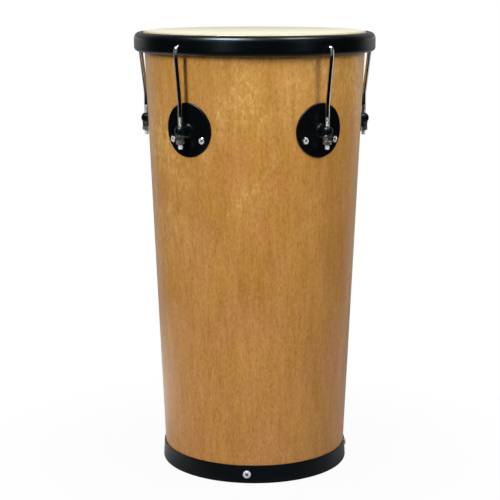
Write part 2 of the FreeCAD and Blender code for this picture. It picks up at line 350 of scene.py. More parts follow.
# Tan veneer, its grain upright, under varnish. The colour drifts between honey and rosy, paler wisps
# gather in clouds in the upper half, and a weighted sum of five noises changes the brightness
def makeVarnishedWood():
    look = woodLook
    material, tree, shader = newMaterial("varnishedWood", look["fixed"])
    noise = {name: stretchedNoise(tree, *values) for name, values in look["noises"].items()}
    rise = addNode(tree, "ShaderNodeSeparateXYZ", {"Vector": objectPlace(tree)}).outputs["Z"]
    rosy = mathNode(tree, "ADD", noise["patches"], look["rosyStart"])
    rosy = mathNode(tree, "MULTIPLY_ADD", rise, look["rosyPerMetre"], rosy)
    hue = rampBetween(tree, rosy, *look["rosyBetween"])
    colour = mixColours(tree, hue, look["honeyTan"], look["rosyTan"])
    gathered = mathNode(tree, "MULTIPLY", rampBetween(tree, noise["clouds"], *look["cloudBetween"]),
                        rampBetween(tree, rise, *look["wispHeights"]))
    wisps = mathNode(tree, "MULTIPLY", rampBetween(tree, noise["wisps"], *look["wispBetween"]), gathered)
    nearTop = mathNode(tree, "MULTIPLY", rampBetween(tree, rise, *look["topHeights"]), look["topShare"])
    paler = mathNode(tree, "MULTIPLY_ADD", wisps, look["wispShare"], nearTop)
    colour = mixColours(tree, paler, colour, look["paleTan"])
    flecks = rampBetween(tree, noise["flecks"], *look["fleckBetween"])
    fleck = mathNode(tree, "MULTIPLY", flecks, look["fleckShare"])
    colour = mixColours(tree, fleck, colour, look["fleckBrown"])
    shade = look["shadeStart"]
    for name, weight in look["shade"].items():
        shade = mathNode(tree, "MULTIPLY_ADD", noise[name], weight, shade)
    # A dark line is also redder: blue falls most there and red least
    tint = addNode(tree, "ShaderNodeCombineColor", {
        "Red": mathNode(tree, "MULTIPLY_ADD", shade, *look["redOfShade"]),
        "Green": shade,
        "Blue": mathNode(tree, "MULTIPLY_ADD", shade, *look["blueOfShade"])})
    colour = mixColours(tree, 1.0, colour, tint.outputs["Color"], "MULTIPLY")
    tree.links.new(colour, shader.inputs["Base Color"])
    bumpFrom(tree, shader, noise["streaks"], look["poreDepth"], look["poreStrength"])
    return material


filmLook = {
    "fixed": {"Roughness": 0.45, "IOR": 1.4, "Coat Weight": 0.55, "Coat Roughness": 0.08, "Coat IOR": 1.5},
    "haze": (45.0, (1, 1, 1), 4.0, 0.6),
    "creams": [(0.3, (0.89, 0.82, 0.47)), (0.7, (0.95, 0.89, 0.53))],
    "bendFromEnd": 6.5 * mm,
    "bendToEnd": 4.5 * mm,
    "bendShadeColour": (0.52, 0.52, 0.52),
}


# Milky film: cream, satin, with faint clouds in it. Where it bends down over the edge it is greyer, as
# painted shade of the bend. The bend is told by its distance from the drum's axis, back from the end of the
# film
def makeHeadFilm():
    look = filmLook
    material, tree, shader = newMaterial("headFilm", look["fixed"])
    milk = colourRamp(tree, stretchedNoise(tree, *look["haze"]), look["creams"])
    flat = addNode(tree, "ShaderNodeVectorMath", {0: objectPlace(tree), 1: (1, 1, 0)}, operation="MULTIPLY")
    reach = addNode(tree, "ShaderNodeVectorMath", {0: flat.outputs[0]}, operation="LENGTH").outputs["Value"]
    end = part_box("head_skin")[1].x
    # Painted shade: the film goes grey over its bend
    paintedBendShade = colourRamp(tree, reach, [
        (end - look["bendFromEnd"], (1, 1, 1)), (end - look["bendToEnd"], look["bendShadeColour"])])
    tree.links.new(mixColours(tree, 1.0, milk, paintedBendShade, "MULTIPLY"), shader.inputs["Base Color"])
    return material


# A finish that follows one noise: its colours at two places of the noise and, where they vary, its
# roughness, as a share of the noise and a least, and the depth of its bump
def noisyFinish(name, fixed, noise, colours, roughness=None, bump=None):
    material, tree, shader = newMaterial(name, fixed)
    pattern = stretchedNoise(tree, *noise)
    tree.links.new(colourRamp(tree, pattern, colours), shader.inputs["Base Color"])
    if roughness:
        tree.links.new(mathNode(tree, "MULTIPLY_ADD", pattern, *roughness), shader.inputs["Roughness"])
    if bump:
        bumpFrom(tree, shader, pattern, bump)
    return material


# Bare plywood inside the shell: paler, dry and a little rough
def makeRawPlywood():
    return noisyFinish(
        "rawPlywood", {"Roughness": 0.75, "IOR": 1.35}, noise=(300.0, (1, 1, 0.06), 4.0, 0.6),
        colours=[(0.35, (0.42, 0.27, 0.13)), (0.65, (0.56, 0.39, 0.21))], bump=0.08 * mm)


# Gloss black enamel with a faint unevenness from the spray
def makeBlackEnamel():
    return noisyFinish(
        "blackEnamel", {"IOR": 1.5, "Specular Tint": (0.72, 0.88, 1.0, 1.0)},
        noise=(260.0, (1, 1, 1), 2.0, 0.5),
        colours=[(0.3, (0.0007, 0.0010, 0.0015)), (0.7, (0.0014, 0.0020, 0.0028))],
        roughness=(0.10, 0.25), bump=0.012 * mm)


# Bright plating: polished, with faint drawing marks along the wire
def makeChromePlate():
    return noisyFinish(
        "chromePlate", {"Metallic": 1.0}, noise=(900.0, (1, 1, 0.3), 2.0, 0.5),
        colours=[(0.3, (0.74, 0.75, 0.77)), (0.7, (0.84, 0.85, 0.86))], roughness=(0.10, 0.06))


# Plating rubbed satin, on screw heads and on the rods' lower ends
def makeScrewPlate():
    return noisyFinish(
        "screwPlate", {"Metallic": 0.38}, noise=(1100.0, (1, 1, 1), 3.0, 0.6),
        colours=[(0.3, (0.80, 0.82, 0.86)), (0.7, (0.95, 0.96, 0.98))],
        roughness=(0.16, 0.20), bump=0.02 * mm)


# Painted shade down in the slots of a screw: dark, dull plating that stands for the shade there
def makePaintedRecessShade():
    return noisyFinish(
        "paintedRecessShade", {"Metallic": 0.6}, noise=(1400.0, (1, 1, 1), 4.0, 0.6),
        colours=[(0.35, (0.035, 0.033, 0.030)), (0.70, (0.110, 0.105, 0.095))],
        roughness=(0.20, 0.35))


# Rolled thread, dulled by its many small flanks
def makeThreadSteel():
    return noisyFinish(
        "threadSteel", {"Metallic": 1.0}, noise=(800.0, (1, 1, 1), 3.0, 0.6),
        colours=[(0.3, (0.62, 0.63, 0.64)), (0.7, (0.88, 0.88, 0.88))], roughness=(0.16, 0.34))


# Zinc on steel: duller and slightly mottled, a touch yellow green
def makeZincSteel():
    return noisyFinish(
        "zincSteel", {"Metallic": 1.0}, noise=(700.0, (1, 1, 1), 4.0, 0.65),
        colours=[(0.35, (0.34, 0.35, 0.32)), (0.65, (0.70, 0.71, 0.66))],
        roughness=(0.24, 0.28), bump=0.06 * mm)


# Turned aluminium with fine rings from the tool
def makeBareAluminium():
    return noisyFinish(
        "bareAluminium", {"Metallic": 1.0}, noise=(500.0, (0.05, 0.05, 4.0), 2.0, 0.5),
        colours=[(0.3, (0.62, 0.62, 0.63)), (0.7, (0.76, 0.76, 0.77))], roughness=(0.12, 0.28))


varnishedWood = makeVarnishedWood()
rawPlywood = makeRawPlywood()
blackEnamel = makeBlackEnamel()
headFilm = makeHeadFilm()
chromePlate = makeChromePlate()
screwPlate = makeScrewPlate()
paintedRecessShade = makePaintedRecessShade()
threadSteel = makeThreadSteel()
zincSteel = makeZincSteel()
bareAluminium = makeBareAluminium()
print("finishes ready")

# Shell

shell = {
    "wall": 6.0 * mm,
    "edgeFlat": 1.0 * mm,
    "wallRows": 30,
    "columns": 288,
}


# The wall's section carried round the axis: outside up, over the bearing edge, and down inside
def makeShell():
    columns = shell["columns"]
    roundHeight = shellTop - edgeRound
    roundCentre = shellRadius(roundHeight) - edgeRound
    flatEnd = roundCentre - shell["edgeFlat"]
    bevelFoot = shellTop - (flatEnd - shellRadius(shellTop) + shell["wall"])
    footInside = shellFootRadius - shell["wall"]
    outside = np.vstack([
        line(footInside, shellFoot, shellFootRadius, shellFoot, 3),
        line(shellFootRadius, shellFoot, shellRadius(roundHeight), roundHeight, shell["wallRows"]),
        arc(roundCentre, roundHeight, edgeRound, 0, 90, 8),
        [[flatEnd, shellTop]]])
    inside = np.vstack([
        line(flatEnd, shellTop, shellRadius(bevelFoot) - shell["wall"], bevelFoot, 4),
        line(shellRadius(bevelFoot) - shell["wall"], bevelFoot, footInside, shellFoot, shell["wallRows"]),
        [[footInside, shellFoot]]])
    piece = pieceFromGrids("drumShell", [(revolve(outside, columns), False, 0),
                                         (revolve(inside, columns), False, 1)], [varnishedWood, rawPlywood])
    settle(piece, "drum", "varnished_wood", "shell")


makeShell()
print("shell made")

# Head: the film and the hoop that grips its edge

head = {
    "film": 0.5 * mm,
    "sideGap": 0.2 * mm,
    "dish": 0.8 * mm,
    "slotAboveFoot": 1.65 * mm,
    "flangeEnd": 154.4 * mm,
    "fleshGap": 0.4 * mm,
    "fleshCorner": 2.5 * mm,
    "slotDepth": 3.0 * mm,
    "slotGap": 0.05 * mm,
    "columns": 256,
}


# The film runs flat from the axis, rounds over the edge, goes down and turns out into the slot
def makeHeadSkin():
    inner = shellRadius(drumHeight) + head["sideGap"]
    outer = inner + head["film"]
    innerRound = edgeRound + head["sideGap"]
    outerRound = innerRound + head["film"]
    centre = inner - innerRound
    centreHeight = shellTop - innerRound
    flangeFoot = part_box("flesh_hoop")[0].z + head["slotAboveFoot"]
    flangeTop = flangeFoot + head["film"]
    flangeEnd = head["flangeEnd"]
    top = line(0, drumHeight, centre, drumHeight, 40)
    under = line(centre, shellTop, 0, shellTop, 40)
    top[:, 1] -= head["dish"] * (1 - (top[:, 0] / centre) ** 2)
    under[:, 1] -= head["dish"] * (1 - (under[:, 0] / centre) ** 2)
    section = np.vstack([
        top, arc(centre, centreHeight, outerRound, 90, 0, 10),
        line(outer, centreHeight, outer, flangeTop, 3)[1:],
        line(outer, flangeTop, flangeEnd, flangeTop, 2),
        [[flangeEnd, flangeTop]], line(flangeEnd, flangeFoot, inner, flangeFoot, 2),
        line(inner, flangeFoot, inner, centreHeight, 3),
        arc(centre, centreHeight, innerRound, 0, 90, 10)[:-1], under,
        [[0, shellTop - head["dish"]]]])
    piece = pieceFromGrids("drumHead", [(revolve(section, head["columns"]), False, 0)], [headFilm])
    settle(piece, "drum", "head_film", "head_skin")


# Rectangular section with one rounded corner and the slot that grips the film
def makeFleshHoop():
    low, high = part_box("flesh_hoop")
    outer = high.x
    inner = radiusAt("head_skin", shellTop - edgeRound - head["sideGap"]) + head["fleshGap"]
    foot, top = low.z, high.z
    corner = head["fleshCorner"]
    slotFoot = foot + head["slotAboveFoot"] - head["slotGap"]
    slotTop = slotFoot + head["film"] + 2 * head["slotGap"]
    slotEnd = inner + head["slotDepth"]
    section = np.vstack([
        line(inner, foot, outer, foot, 2), line(outer, foot, outer, top - corner, 2),
        arc(outer - corner, top - corner, corner, 0, 90, 8), line(outer - corner, top, inner, top, 2)[1:],
        [[inner, top], [inner, slotTop], [slotEnd, slotTop], [slotEnd, slotFoot], [inner, slotFoot]]])
    piece = pieceFromGrids("fleshHoop", [(revolve(section, head["columns"]), True, 0)], [bareAluminium])
    settle(piece, "drum", "bare_aluminium", "flesh_hoop")


makeHeadSkin()
makeFleshHoop()
print("head made")

# Counter hoop

counterHoop = {
    "wall": 2.0 * mm,
    "shoulder": 8.5 * mm,
    "lipFlat": 0.5 * mm,
    "curl": 6.0 * mm,
    "holeRadius": 3.4 * mm,
    "holeAboveLeg": 0.35 * mm,
    "drillReach": 5.0 * mm,
    "drillColumns": 48,
    "sharpDegrees": 25,
    "columns": 320,
}
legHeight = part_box("hook_3")[1].z - rodRadius


# Pressed strip: a lip over the flesh hoop, a rounded shoulder, a straight wall and a curl below
def makeCounterHoop():
    low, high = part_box("counter_hoop")
    outer, foot, top = high.x, low.z, high.z
    wall, shoulder, curl = counterHoop["wall"], counterHoop["shoulder"], counterHoop["curl"]
    shoulderCentre, shoulderHeight = outer - shoulder, top - shoulder
    curlCentre, curlHeight = outer - curl, foot + curl
    lip = shoulderCentre - counterHoop["lipFlat"]
    section = np.vstack([
        [[lip, top]],
        arc(shoulderCentre, shoulderHeight, shoulder, 90, 0, 20),
        line(outer, shoulderHeight, outer, curlHeight, 4)[1:],
        arc(curlCentre, curlHeight, curl, 0, -90, 16),
        arc(curlCentre, foot + wall / 2, wall / 2, -90, -270, 9)[1:-1],
        arc(curlCentre, curlHeight, curl - wall, -90, 0, 14),
        line(outer - wall, curlHeight, outer - wall, shoulderHeight, 4)[1:],
        arc(shoulderCentre, shoulderHeight, shoulder - wall, 0, 90, 16),
        arc(lip, top - wall / 2, wall / 2, 270, 90, 9)[:-1]])
    piece = pieceFromGrids("counterHoop", [(revolve(section, counterHoop["columns"]), True, 0)],
                           [blackEnamel])
    reach, bore = counterHoop["drillReach"], counterHoop["holeRadius"]
    rod = revolveOwn(np.array([[0, -reach], [bore, -reach], [bore, reach], [0, reach]]),
                     counterHoop["drillColumns"])
    drills = []
    for azimuth in lugAzimuths:
        shape = layOn(rod, outer - wall / 2, legHeight + counterHoop["holeAboveLeg"], azimuth)
        drills.append(pieceFromGrids("drill", [(shape, False, 0)], [blackEnamel]))
    cutAway(piece, drills, counterHoop["sharpDegrees"])
    settle(piece, "hoop_and_hooks", "black_enamel", "counter_hoop")


makeCounterHoop()
print("counter hoop made")

# Base band

baseBand = {
    "wall": 1.5 * mm,
    "corner": 2.6 * mm,
    "topGap": 0.2 * mm,
    "topEdge": 0.3 * mm,
    "footInset": 6.4 * mm,
    "columns": 288,
}


# The band's outside is a cone, from its rounded corner to its top edge
def bandOuter(height):
    low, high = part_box("base_band")
    cornerTop = low.z + baseBand["corner"]
    cornerOuter = radiusAt("base_band", cornerTop)
    topOuter = shellRadius(high.z) + baseBand["topGap"] + baseBand["wall"]
    return cornerOuter + (topOuter - cornerOuter) * (height - cornerTop) / (high.z - cornerTop)


# Flared strip with a rounded lower corner and a narrow foot turned in under the shell
def makeBaseBand():
    low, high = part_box("base_band")
    foot, top = low.z, high.z
    wall, corner, edge = baseBand["wall"], baseBand["corner"], baseBand["topEdge"]
    topOuter = bandOuter(top)
    cornerOuter = bandOuter(foot + corner)
    centre = cornerOuter - corner
    footEnd = shellFootRadius - baseBand["footInset"]
    section = np.vstack([
        line(footEnd, foot, centre, foot, 3), arc(centre, foot + corner, corner, -90, 0, 12),
        line(cornerOuter, foot + corner, topOuter, top - edge, 6)[1:],
        arc(topOuter - edge, top - edge, edge, 0, 90, 5),
        arc(topOuter - wall + edge, top - edge, edge, 90, 180, 5),
        line(topOuter - wall, top - edge, centre + corner - wall, foot + corner, 6)[1:],
        arc(centre, foot + corner, corner - wall, 0, -90, 8),
        line(centre, foot + wall, footEnd, foot + wall, 3)[1:],
        [[footEnd, foot + wall]]])
    piece = pieceFromGrids("baseBand", [(revolve(section, baseBand["columns"]), True, 0)], [blackEnamel])
    settle(piece, "drum", "black_enamel", "base_band")


makeBaseBand()
print("base band made")

# Screws, washers and nuts

panScrew = {
    "shankRadius": 2.5 * mm,
    "recessDepth": 2.3 * mm,
    "recessReach": 0.62,
    "recessWidth": 0.19,
    "recessSoft": 0.05,
    "recessRise": 0.45,
    "recessShadeBelow": 0.66,
    "underEdge": 0.25 * mm,
    "endChamfer": 0.5 * mm,
    "domeRows": 34,
    "columns": 96,
}
nutShape = {"faceShare": 0.475, "sinkShare": 0.06, "coneDegrees": 60.0, "coneRows": 8, "columns": 96}
washerShape = {"edge": 0.15 * mm, "columns": 64}
innerNut = {"flats": 8.0 * mm, "height": 4.0 * mm, "bore": 2.55 * mm}
innerWasher = {"radius": 5.0 * mm, "bore": 2.7 * mm, "thickness": 1.0 * mm}
boltEnd = 1.5 * mm
innerGap = 0.15 * mm


# One slot of a cross: 1 inside its half width and its reach, soft at its edges
def crossSlot(across, along, half, reach, soft):
    return (smoothStep(-half - soft, -half + soft, -np.abs(across))
            * smoothStep(-reach - soft, -reach, -np.abs(along)))


# A dome, part of a ball, on a short rim over a shank. Two crossed slots, shallower outwards, are
# sunk into the dome. Comes with the finish of each point: 0 rubbed, 1 painted shade down in the
# slots, where they are deep, and 2 on the steep flank, beyond brightFrom of the radius
def panHead(length, spec, turnDegrees):
    radius, height, rim = spec["headRadius"], spec["headHeight"], spec["headRim"]
    crown = (radius ** 2 + (height - rim) ** 2) / (2 * (height - rim))
    turn = turnsRound(panScrew["columns"])
    out = radius * np.linspace(0, 1, panScrew["domeRows"])[:, None]
    level = height - crown + np.sqrt(crown ** 2 - out ** 2) + 0 * turn
    across, along = out * np.cos(turn), out * np.sin(turn)
    half, reach, soft = [panScrew[key] * radius for key in ("recessWidth", "recessReach", "recessSoft")]
    slots = np.maximum(crossSlot(across, along, half, reach, soft),
                       crossSlot(along, across, half, reach, soft))
    sunk = slots * (1 - panScrew["recessRise"] * out / reach)
    level -= sunk * panScrew["recessDepth"]
    dome = np.stack([across, along, level], axis=-1)
    edge, shank, chamfer = panScrew["underEdge"], panScrew["shankRadius"], panScrew["endChamfer"]
    rest = np.vstack([
        line(radius, rim, radius, edge, 2), arc(radius - edge, edge, edge, 0, -90, 5),
        line(radius - edge, 0, shank, 0, 2)[1:], line(shank, 0, shank, chamfer - length, 3),
        [[shank, chamfer - length], [shank - chamfer, -length], [0, -length]]])
    grid = np.concatenate([dome, revolveOwn(rest, panScrew["columns"])])
    finish = np.where(np.hypot(grid[..., 0], grid[..., 1]) > spec["brightFrom"] * radius, 2, 0)
    # Where the slots are deep the finish is painted shade
    finish[:len(dome)][sunk > panScrew["recessShadeBelow"]] = 1
    return grid @ turnMatrix(turnDegrees), finish


# Hexagon whose corners are cut back by a cone at both ends, with a countersunk bore. A row's
# radius is the smaller of the hexagon's and the cone's
def hexNut(flats, height, bore, foot):
    columns = nutShape["columns"]
    turn = turnsRound(columns)
    hexagon = flats / 2 / np.cos((turn + math.pi / 6) % (math.pi / 3) - math.pi / 6)
    face, sink = nutShape["faceShare"] * flats, nutShape["sinkShare"] * flats
    slope = math.tan(math.radians(nutShape["coneDegrees"]))
    depth = np.linspace(0, (flats / math.sqrt(3) - face) / slope, nutShape["coneRows"])
    levels = np.concatenate([depth, height - depth[::-1]])[:, None]
    cone = face + slope * np.minimum(levels, height - levels)
    sides = np.minimum(hexagon, cone)
    hole = np.array([[bore + sink, height], [bore, height - sink], [bore, sink], [bore + sink, 0]])
    grid = np.concatenate([aboutOwn(sides, levels, turn), revolveOwn(hole, columns)])
    grid[..., 2] += foot
    return grid


# Flat ring with broken edges
def flatWasher(radius, bore, thickness, foot):
    edge = washerShape["edge"]
    section = np.array([
        [bore + edge, 0], [radius - edge, 0], [radius, edge], [radius, thickness - edge],
        [radius - edge, thickness], [bore + edge, thickness], [bore, thickness - edge], [bore, edge]])
    return revolveOwn(section + [0, foot], washerShape["columns"])


# Washer and nut on the inner end of a screw that clamps this much
def innerPair(stack):
    washerFoot = -stack - innerWasher["thickness"]
    nutFoot = washerFoot - innerNut["height"]
    return [flatWasher(innerWasher["radius"], innerWasher["bore"], innerWasher["thickness"], washerFoot),
            hexNut(innerNut["flats"], innerNut["height"], innerNut["bore"], nutFoot)]


# Grids of a screw, and of its inner pair, laid on the drum where it clamps this much
def clampingScrew(spec, stack, place, slotTurn):
    length = stack + innerWasher["thickness"] + innerNut["height"] + boltEnd
    screw, finish = panHead(length, spec, slotTurn)
    pair = [(layOn(shape, *place), True, 0) for shape in innerPair(stack)]
    return [(layOn(screw, *place), False, finish)], pair


bandScrews = {
    "azimuths": [-4.0, 96.0, 176.0, 256.0],
    "height": 13.2 * mm,
    "headRadius": 5.3 * mm,
    "headHeight": 3.2 * mm,
    "headRim": 1.2 * mm,
    "brightFrom": math.inf,
    "slotTurns": [38.0, 12.0, 71.0, 55.0],
}


def makeBandScrews():
    spec = bandScrews
    seat = bandOuter(spec["height"] - spec["headRadius"])
    inside = shellRadius(spec["height"] - innerWasher["radius"]) - shell["wall"]
    stack = seat - inside + innerGap
    heads, nuts = [], []
    for azimuth, slotTurn in zip(spec["azimuths"], spec["slotTurns"]):
        screw, pair = clampingScrew(spec, stack, (seat, spec["height"], azimuth), slotTurn)
        heads += screw
        nuts += pair
    screws = pieceFromGrids("bandScrews", heads, [screwPlate, paintedRecessShade])
    settle(screws, "drum", "chrome_plate", "base_band_screws")
    inner = pieceFromGrids("bandNuts", nuts, [zincSteel])
    settle(inner, "drum", "zinc_steel", "base_band_nuts")


makeBandScrews()
print("band screws made")

# Lugs

lug = {
    "height": 476.5 * mm,
    "plateRadius": 35.6 * mm,
    "plateThickness": 2.4 * mm,
    "rimRound": 1.4 * mm,
    "seatGap": 0.05 * mm,
    "postRadius": 7.4 * mm,
    "postLength": 12.75 * mm,
    "rootFillet": 4.0 * mm,
    "seatCut": 1.9 * mm,
    "seatCutRadius": 6.7 * mm,
    "rodHoleRadius": 3.4 * mm,
    "toolColumns": 64,
    "toolPastPosts": 3,
    "postRows": 6,
    "ballRows": 24,
    "columns": 144,
}
lugScrews = {
    "ring": 26.7 * mm,
    "belowPost": 28.2,
    "headRadius": 4.6 * mm,
    "headHeight": 3.0 * mm,
    "headRim": 1.1 * mm,
    "brightFrom": 0.80,
    "slotTurns": [20.0, 64.0, 47.0, 5.0, 80.0, 33.0, 58.0, 15.0, 72.0, 41.0],
}
plateOffset = lug["seatGap"] + lug["plateThickness"]
rodRadiusPlace = shellRadius(lug["height"]) + plateOffset + lug["postLength"]
tilt = math.atan(shellTaper)


# Plate and post are one profile carried round the lug's own axis. Plate points are pressed onto a
# cone at their offset from the shell; post points run straight out to a ball about the rod's axis
def lugGrid():
    rim, fillet, post = lug["rimRound"], lug["rootFillet"], lug["postRadius"]
    plate, thick = lug["plateRadius"], lug["plateThickness"]
    turn = turnsRound(lug["columns"])
    rows = np.vstack([
        line(0, 0, plate, 0, 12), line(plate, 0, plate, thick - rim, 3),
        arc(plate - rim, thick - rim, rim, 0, 90, 10),
        line(plate - rim, thick, post + fillet, thick, 16)[1:],
        arc(post + fillet, thick + fillet, fillet, -90, -180, 10)])
    out, offset = rows[:, 0][:, None], rows[:, 1][:, None] + lug["seatGap"]
    side, rise = out * np.cos(turn), out * np.sin(turn)
    cone = shellRadius(lug["height"] + rise) + offset
    pressed = np.stack([side, rise, np.sqrt(cone ** 2 - side ** 2)], axis=-1)
    root = pressed[-1]
    share = np.linspace(0, 1, lug["postRows"] + 1)[1:, None, None]
    straight = np.repeat(root[None], len(share), axis=0)
    straight[..., 2:] += (rodRadiusPlace - root[None, :, 2:]) * share
    ball = np.radians(np.linspace(0, 90, lug["ballRows"]))[1:, None]
    cap = aboutOwn(post * np.cos(ball), rodRadiusPlace + post * np.sin(ball), turn)
    return np.concatenate([pressed, straight, cap])


# A cylinder along the rod's axis between two heights, as a tool for the lug
def uprightTool(radius, foot, top):
    section = np.array([[0, foot], [radius, foot], [radius, top], [0, top]])
    grid = revolve(section, lug["toolColumns"])
    grid[..., 1] -= rodRadiusPlace
    return pieceFromGrids("tool", [(grid, False, 0)], [blackEnamel])


# The first lug is made at the front, and the others are its points turned about the drum
def makeLugs():
    shape = layOn(lugGrid(), 0, lug["height"], 0)
    pattern = pieceFromGrids("lugPattern", [(shape, False, 0)], [blackEnamel])
    seat = lug["height"] - lug["postRadius"] + lug["seatCut"]
    past = lug["toolPastPosts"] * lug["postRadius"]
    cutAway(pattern, [uprightTool(lug["seatCutRadius"], lug["height"] - past, seat),
                      uprightTool(lug["rodHoleRadius"], lug["height"] - past, lug["height"] + past)])
    for number, azimuth in enumerate(lugAzimuths, start=1):
        piece = turnedCopy(pattern, "lug%d" % number, azimuth)
        settle(piece, "drum", "black_enamel", "lug_%d" % number)
    bpy.data.objects.remove(pattern)


# A copy of a finished piece whose points are turned about the drum's axis
def turnedCopy(pattern, name, azimuth):
    mesh = pattern.data.copy()
    mesh.vertices.foreach_set("co", (meshPoints(mesh) @ turnMatrix(azimuth)).ravel())
    mesh.update()
    return addObject(name, mesh)


# Two screws to a lug, on a ring about the post, at an angle in degrees below its middle
def makeLugScrews():
    spec = lugScrews
    below = math.radians(spec["belowPost"])
    height = lug["height"] - spec["ring"] * math.sin(below)
    seat = shellRadius(height) + plateOffset
    half = math.degrees(spec["ring"] * math.cos(below) / seat)
    stack = plateOffset + shell["wall"] + innerGap
    slotTurns = iter(spec["slotTurns"])
    for number, azimuth in enumerate(lugAzimuths, start=1):
        heads, nuts = [], []
        for place in (azimuth - half, azimuth + half):
            screw, pair = clampingScrew(spec, stack, (seat, height, place, tilt), next(slotTurns))
            heads += screw
            nuts += pair
        screws = pieceFromGrids("lugScrews%d" % number, heads, [screwPlate, paintedRecessShade, chromePlate])
        settle(screws, "drum", "chrome_plate", "lug_screws_%d" % number)
        inner = pieceFromGrids("lugNuts%d" % number, nuts, [zincSteel])
        settle(inner, "drum", "zinc_steel", "lug_nuts_%d" % number)


makeLugs()
makeLugScrews()
print("lugs made")

# Hooks

hook = {
    "bendAboveLug": 35.5 * mm,
    "bendBelowLeg": 11.4 * mm,
    "hoopGap": 1.4 * mm,
    "legPastFlesh": 0.4 * mm,
    "bends": [60.0 * mm, 25.0 * mm, 4.6 * mm],
    "pitch": 1.0 * mm,
    "threadDepth": 0.5 * mm,
    "threadTop": 495.0 * mm,
    "fadePitches": 3,
    "grooveBetween": (0.12, 0.88),
    "endChamfer": 0.6 * mm,
    "rowsPerPitch": 9,
    "runRows": 9,
    "bendRows": 13,
    "legRows": 8,
    "columns": 28,
    "sharpDegrees": 50,
}


def unit(vector):
    return vector / np.linalg.norm(vector)


# Places along the wire's middle line: straight runs joined by arcs that touch both. Each run is
# sampled evenly, and each arc by its turn
def hookLine():
    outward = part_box("counter_hoop")[1].x + hook["hoopGap"] + rodRadius
    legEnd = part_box("flesh_hoop")[1].x + hook["legPastFlesh"]
    corners = np.array([
        [rodRadiusPlace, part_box("hook_3")[0].z], [rodRadiusPlace, lug["height"] + hook["bendAboveLug"]],
        [outward, legHeight - hook["bendBelowLeg"]], [outward, legHeight], [legEnd, legHeight]])
    threadRows = int(round((hook["threadTop"] - corners[0, 1]) / hook["pitch"])) * hook["rowsPerPitch"]
    here = np.array([corners[0, 0], hook["threadTop"]])
    runs = [np.linspace(corners[0], here, threadRows, endpoint=False)]
    for index, bend in enumerate(hook["bends"], start=1):
        corner = corners[index]
        back, ahead = unit(corners[index - 1] - corner), unit(corners[index + 1] - corner)
        half = math.acos(float(np.dot(back, ahead))) / 2
        start = corner + back * bend / math.tan(half)
        centre = corner + unit(back + ahead) * bend / math.sin(half)
        spoke = start - centre
        swing = (math.pi - 2 * half) * np.sign(back[0] * ahead[1] - back[1] * ahead[0])
        angle = np.linspace(0, 1, hook["bendRows"])[:, None] * -swing
        turned = np.concatenate([spoke[0] * np.cos(angle) - spoke[1] * np.sin(angle),
                                 spoke[0] * np.sin(angle) + spoke[1] * np.cos(angle)], axis=1)
        runs += [np.linspace(here, start, hook["runRows"], endpoint=False), centre + turned[:-1]]
        here = centre + turned[-1]
    runs.append(np.linspace(here, corners[-1], hook["legRows"]))
    return np.vstack(runs)


# A round wire carried along that line. Below the thread's top its radius falls and rises once in
# each pitch, a turn ahead for each turn round the wire, so the groove is a right-hand helix. Comes
# as two grids, the threaded length and the plain wire above it, that share one row
def hookGrid():
    path = hookLine()
    along = np.gradient(path, axis=0)
    along /= np.linalg.norm(along, axis=1)[:, None]
    turn = turnsRound(hook["columns"])
    height = path[:, 1][:, None]
    wave = np.abs(2 * ((height / hook["pitch"] - turn / turnRound) % 1.0) - 1)
    groove = smoothStep(*hook["grooveBetween"], 1 - wave)
    fade = 1 - smoothStep(hook["threadTop"] - hook["fadePitches"] * hook["pitch"], hook["threadTop"], height)
    radius = rodRadius - hook["threadDepth"] * groove * fade
    chamfered = rodRadius - hook["endChamfer"] + np.maximum(height - path[0, 1], 0)
    radius = np.minimum(radius, chamfered)
    outAcross = along[:, 1][:, None] * np.cos(turn) * radius
    upAcross = -along[:, 0][:, None] * np.cos(turn) * radius
    grid = np.stack([np.sin(turn) * radius, height + upAcross, path[:, 0][:, None] + outAcross], axis=-1)
    ends = np.zeros((2, hook["columns"], 3))
    ends[..., 1:] = path[[0, -1], ::-1][:, None, :]
    threadEnd = int(np.searchsorted(path[:, 1], hook["threadTop"])) + 1
    return np.concatenate([ends[:1], grid[:threadEnd]]), np.concatenate([grid[threadEnd - 1:], ends[1:]])


rodWasher = {"radius": 6.0 * mm, "bore": 3.3 * mm, "thickness": 1.6 * mm}
rodNut = {"flats": 10.0 * mm, "height": 5.0 * mm, "bore": 3.08 * mm}
nutSpins = {"tension": 11.0, "lock": 37.0}
spinStep = 17.0


# A shape made about an upright axis, set on a rod's axis
def onRod(grid, azimuth, spinDegrees=0.0):
    return layOn((grid @ turnMatrix(spinDegrees))[..., [0, 2, 1]], rodRadiusPlace, 0, azimuth)


# A hook has three finishes: polished wire, dull thread and, below the lock nut, a brighter end
def makeHooks():
    thread, wire = hookGrid()
    finish = np.where(thread[..., 1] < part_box("lock_nut_1")[0].z, 2, 1)
    for number, azimuth in enumerate(lugAzimuths, start=1):
        piece = pieceFromGrids("hook%d" % number, [
            (layOn(wire, 0, 0, azimuth), False, 0), (layOn(thread, 0, 0, azimuth), False, finish)],
            [chromePlate, threadSteel, screwPlate], hook["sharpDegrees"])
        settle(piece, "hoop_and_hooks", "chrome_plate", "hook_%d" % number)
        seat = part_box("hook_washer_%d" % number)[0].z
        ring = flatWasher(rodWasher["radius"], rodWasher["bore"], rodWasher["thickness"], seat)
        washer = pieceFromGrids("hookWasher%d" % number, [(onRod(ring, azimuth), True, 0)], [zincSteel])
        settle(washer, "drum", "zinc_steel", "hook_washer_%d" % number)
        for kind, spin in nutSpins.items():
            nodeName = "%s_nut_%d" % (kind, number)
            body = hexNut(rodNut["flats"], rodNut["height"], rodNut["bore"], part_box(nodeName)[0].z)
            shape = onRod(body, azimuth, spin + spinStep * number)
            nut = pieceFromGrids("%sNut%d" % (kind, number), [(shape, True, 0)], [zincSteel])
            settle(nut, "nut_pair_%d" % number, "zinc_steel", nodeName)


makeHooks()
print("hooks made")

# Floor, light and camera

